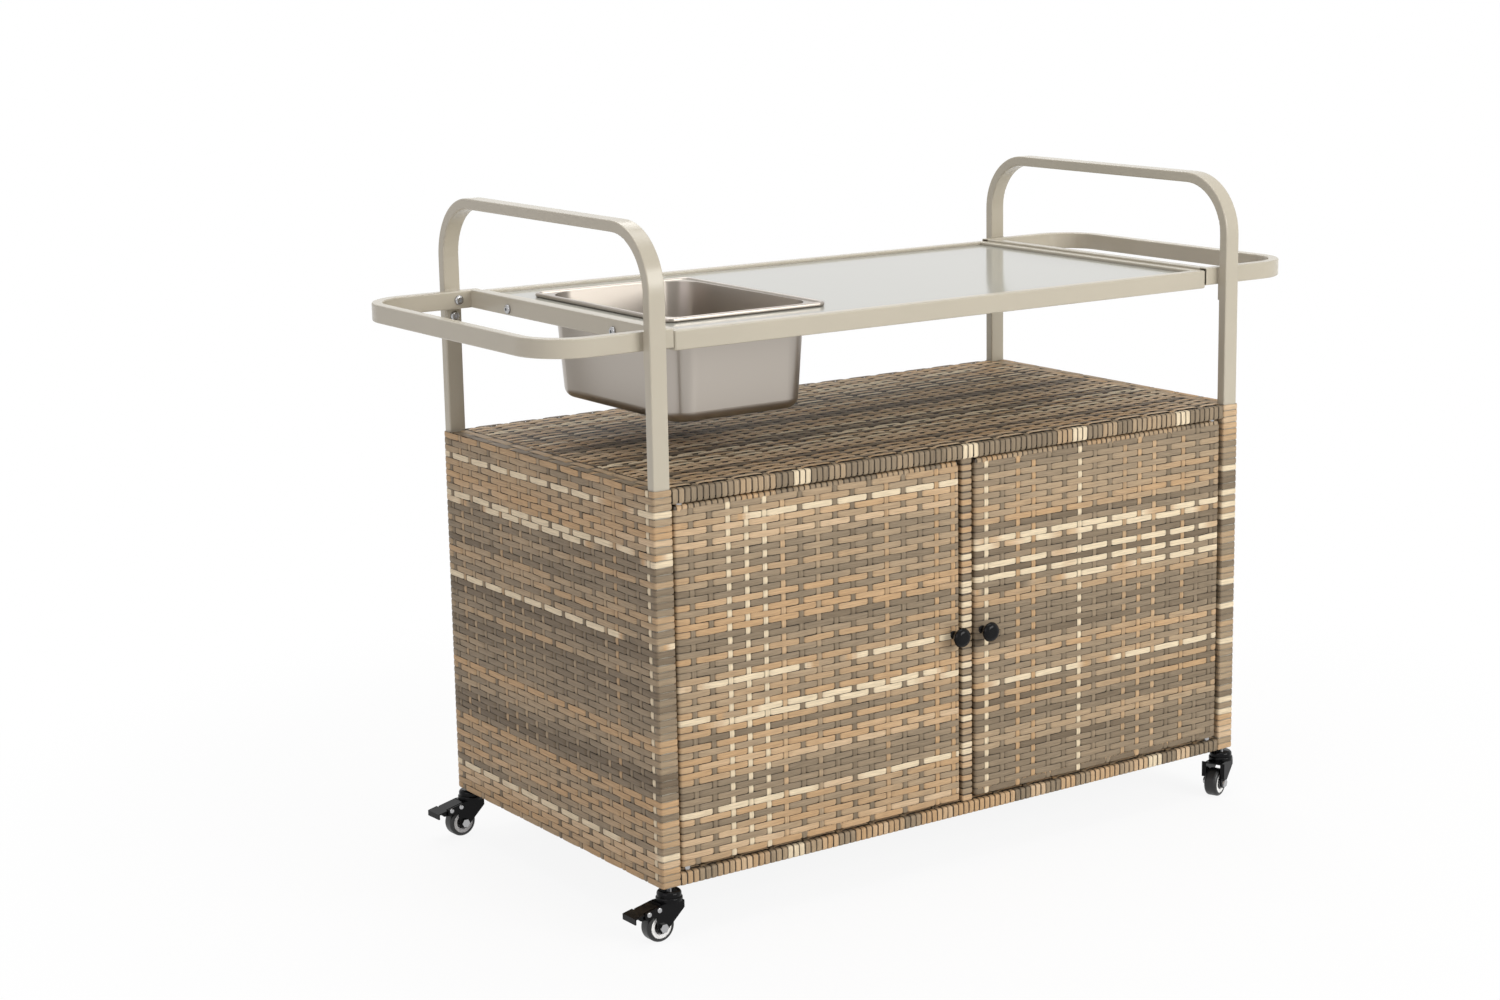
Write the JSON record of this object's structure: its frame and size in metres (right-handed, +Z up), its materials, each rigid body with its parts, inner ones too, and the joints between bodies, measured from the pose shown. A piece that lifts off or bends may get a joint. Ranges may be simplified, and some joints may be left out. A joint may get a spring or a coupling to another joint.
{
  "type": "outdoor bar cart",
  "caption": "Wicker-panelled outdoor serving cart on swivel casters, with two hinged cabinet doors, an open shelf, tube hoops and side handles, and a lift-out steel pan in its tabletop.",
  "frame": {"origin": "on the floor under the middle of the cart's bounding box", "axes": "+Z up, +X to the right as one faces the doors, -Y the front with the doors"},
  "size_m": [1.3, 0.5895, 0.935],
  "materials": {
    "powder_coat": "gloss powder coat, warm grey-beige",
    "top_paint": "gloss powder coat, warm grey-beige",
    "frame_steel": "satin brown coating",
    "wicker": "flat woven resin strands in grey-brown, tan and cream",
    "zinc": "bright zinc plate",
    "black_plastic": "gloss black",
    "magnet": "nickel plate",
    "stainless": "satin stainless steel",
    "black_enamel": "gloss black enamel",
    "tyre": "satin black rubber",
    "white_plastic": "white"
  },
  "bodies": {
    "cart": {"left_hoop": "powder_coat", "right_hoop": "powder_coat", "left_handle": "powder_coat", "right_handle": "powder_coat", "cross_rails": "powder_coat", "handle_brackets": "powder_coat", "table_front_rail": "powder_coat", "table_back_rail": "powder_coat", "table_end_rails": "powder_coat", "top_sheet": "top_paint", "end_rails": "frame_steel", "shelf_frame": "frame_steel", "base_frame": "frame_steel", "back_frame": "frame_steel", "centre_post": "frame_steel", "left_end_weave": "wicker", "right_end_weave": "wicker", "shelf_weave": "wicker", "base_weave": "wicker", "back_weave": "wicker", "centre_post_weave": "wicker", "caster_stems": "zinc", "frame_bolts": "zinc", "rivet_nuts": "zinc", "rail_washers": "zinc", "panel_screws": "zinc", "door_pivot_pins": "zinc", "magnet_catch": "black_plastic", "leg_inserts": "black_plastic", "caster_caps": "black_enamel", "catch_magnets": "magnet"},
    "left_door": {"left_door_frame": "frame_steel", "left_door_weave": "wicker", "left_strike_plate": "zinc", "left_door_bushes": "black_plastic", "left_door_knob": "black_plastic"},
    "right_door": {"right_door_frame": "frame_steel", "right_door_weave": "wicker", "right_strike_plate": "zinc", "right_door_bushes": "black_plastic", "right_door_knob": "black_plastic"},
    "pan": {"ice_pan": "stainless"},
    "front_left_caster": {"front_left_fork": "black_enamel", "front_left_axle": "zinc"},
    "front_left_wheel": {"front_left_tyre": "tyre", "front_left_wheel_core": "white_plastic"},
    "front_left_brake": {"front_left_brake_pedal": "black_enamel"},
    "rear_left_caster": {"rear_left_fork": "black_enamel", "rear_left_axle": "zinc"},
    "rear_left_wheel": {"rear_left_tyre": "tyre", "rear_left_wheel_core": "white_plastic"},
    "rear_left_brake": {"rear_left_brake_pedal": "black_enamel"},
    "front_right_caster": {"front_right_fork": "black_enamel", "front_right_axle": "zinc"},
    "front_right_wheel": {"front_right_tyre": "tyre", "front_right_wheel_core": "white_plastic"},
    "rear_right_caster": {"rear_right_fork": "black_enamel", "rear_right_axle": "zinc"},
    "rear_right_wheel": {"rear_right_tyre": "tyre", "rear_right_wheel_core": "white_plastic"}
  },
  "joints": [
    {"name": "left_door_hinge", "type": "hinge", "parent": "cart", "child": "left_door", "pos_m": [-0.466, -0.2665, 0.336], "axis": [0, 0, -1], "range_deg": [0, 105]},
    {"name": "right_door_hinge", "type": "hinge", "parent": "cart", "child": "right_door", "pos_m": [0.466, -0.2665, 0.336], "axis": [0, 0, 1], "range_deg": [0, 105]},
    {"name": "pan_lift", "type": "slide", "parent": "cart", "child": "pan", "axis": [0, 0, 1], "range_m": [0, 0.2]},
    {"name": "front_left_swivel", "type": "hinge", "parent": "cart", "child": "front_left_caster", "pos_m": [-0.4955, -0.2695, 0.055], "axis": [0, 0, 1], "continuous": true},
    {"name": "front_left_roll", "type": "hinge", "parent": "front_left_caster", "child": "front_left_wheel", "pos_m": [-0.5145, -0.26983, 0.021], "axis": [0.0175, -0.9998, 0], "continuous": true},
    {"name": "front_left_brake_press", "type": "hinge", "parent": "front_left_caster", "child": "front_left_brake", "pos_m": [-0.5195, -0.26992, 0.046], "axis": [0.0175, -0.9998, 0], "range_deg": [0, 12]},
    {"name": "rear_left_swivel", "type": "hinge", "parent": "cart", "child": "rear_left_caster", "pos_m": [-0.4955, 0.2695, 0.055], "axis": [0, 0, 1], "continuous": true},
    {"name": "rear_left_roll", "type": "hinge", "parent": "rear_left_caster", "child": "rear_left_wheel", "pos_m": [-0.51447, 0.26851, 0.021], "axis": [0.0523, -0.9986, 0], "continuous": true},
    {"name": "rear_left_brake_press", "type": "hinge", "parent": "rear_left_caster", "child": "rear_left_brake", "pos_m": [-0.51947, 0.26824, 0.046], "axis": [0.0523, -0.9986, 0], "range_deg": [0, 12]},
    {"name": "front_right_swivel", "type": "hinge", "parent": "cart", "child": "front_right_caster", "pos_m": [0.4955, -0.2695, 0.055], "axis": [0, 0, 1], "continuous": true},
    {"name": "front_right_roll", "type": "hinge", "parent": "front_right_caster", "child": "front_right_wheel", "pos_m": [0.47788, -0.27662, 0.021], "axis": [0.3746, -0.9272, 0], "continuous": true},
    {"name": "rear_right_swivel", "type": "hinge", "parent": "cart", "child": "rear_right_caster", "pos_m": [0.4955, 0.2695, 0.055], "axis": [0, 0, 1], "continuous": true},
    {"name": "rear_right_roll", "type": "hinge", "parent": "rear_right_caster", "child": "rear_right_wheel", "pos_m": [0.47715, 0.26458, 0.021], "axis": [0.2588, -0.9659, 0], "continuous": true}
  ]
}
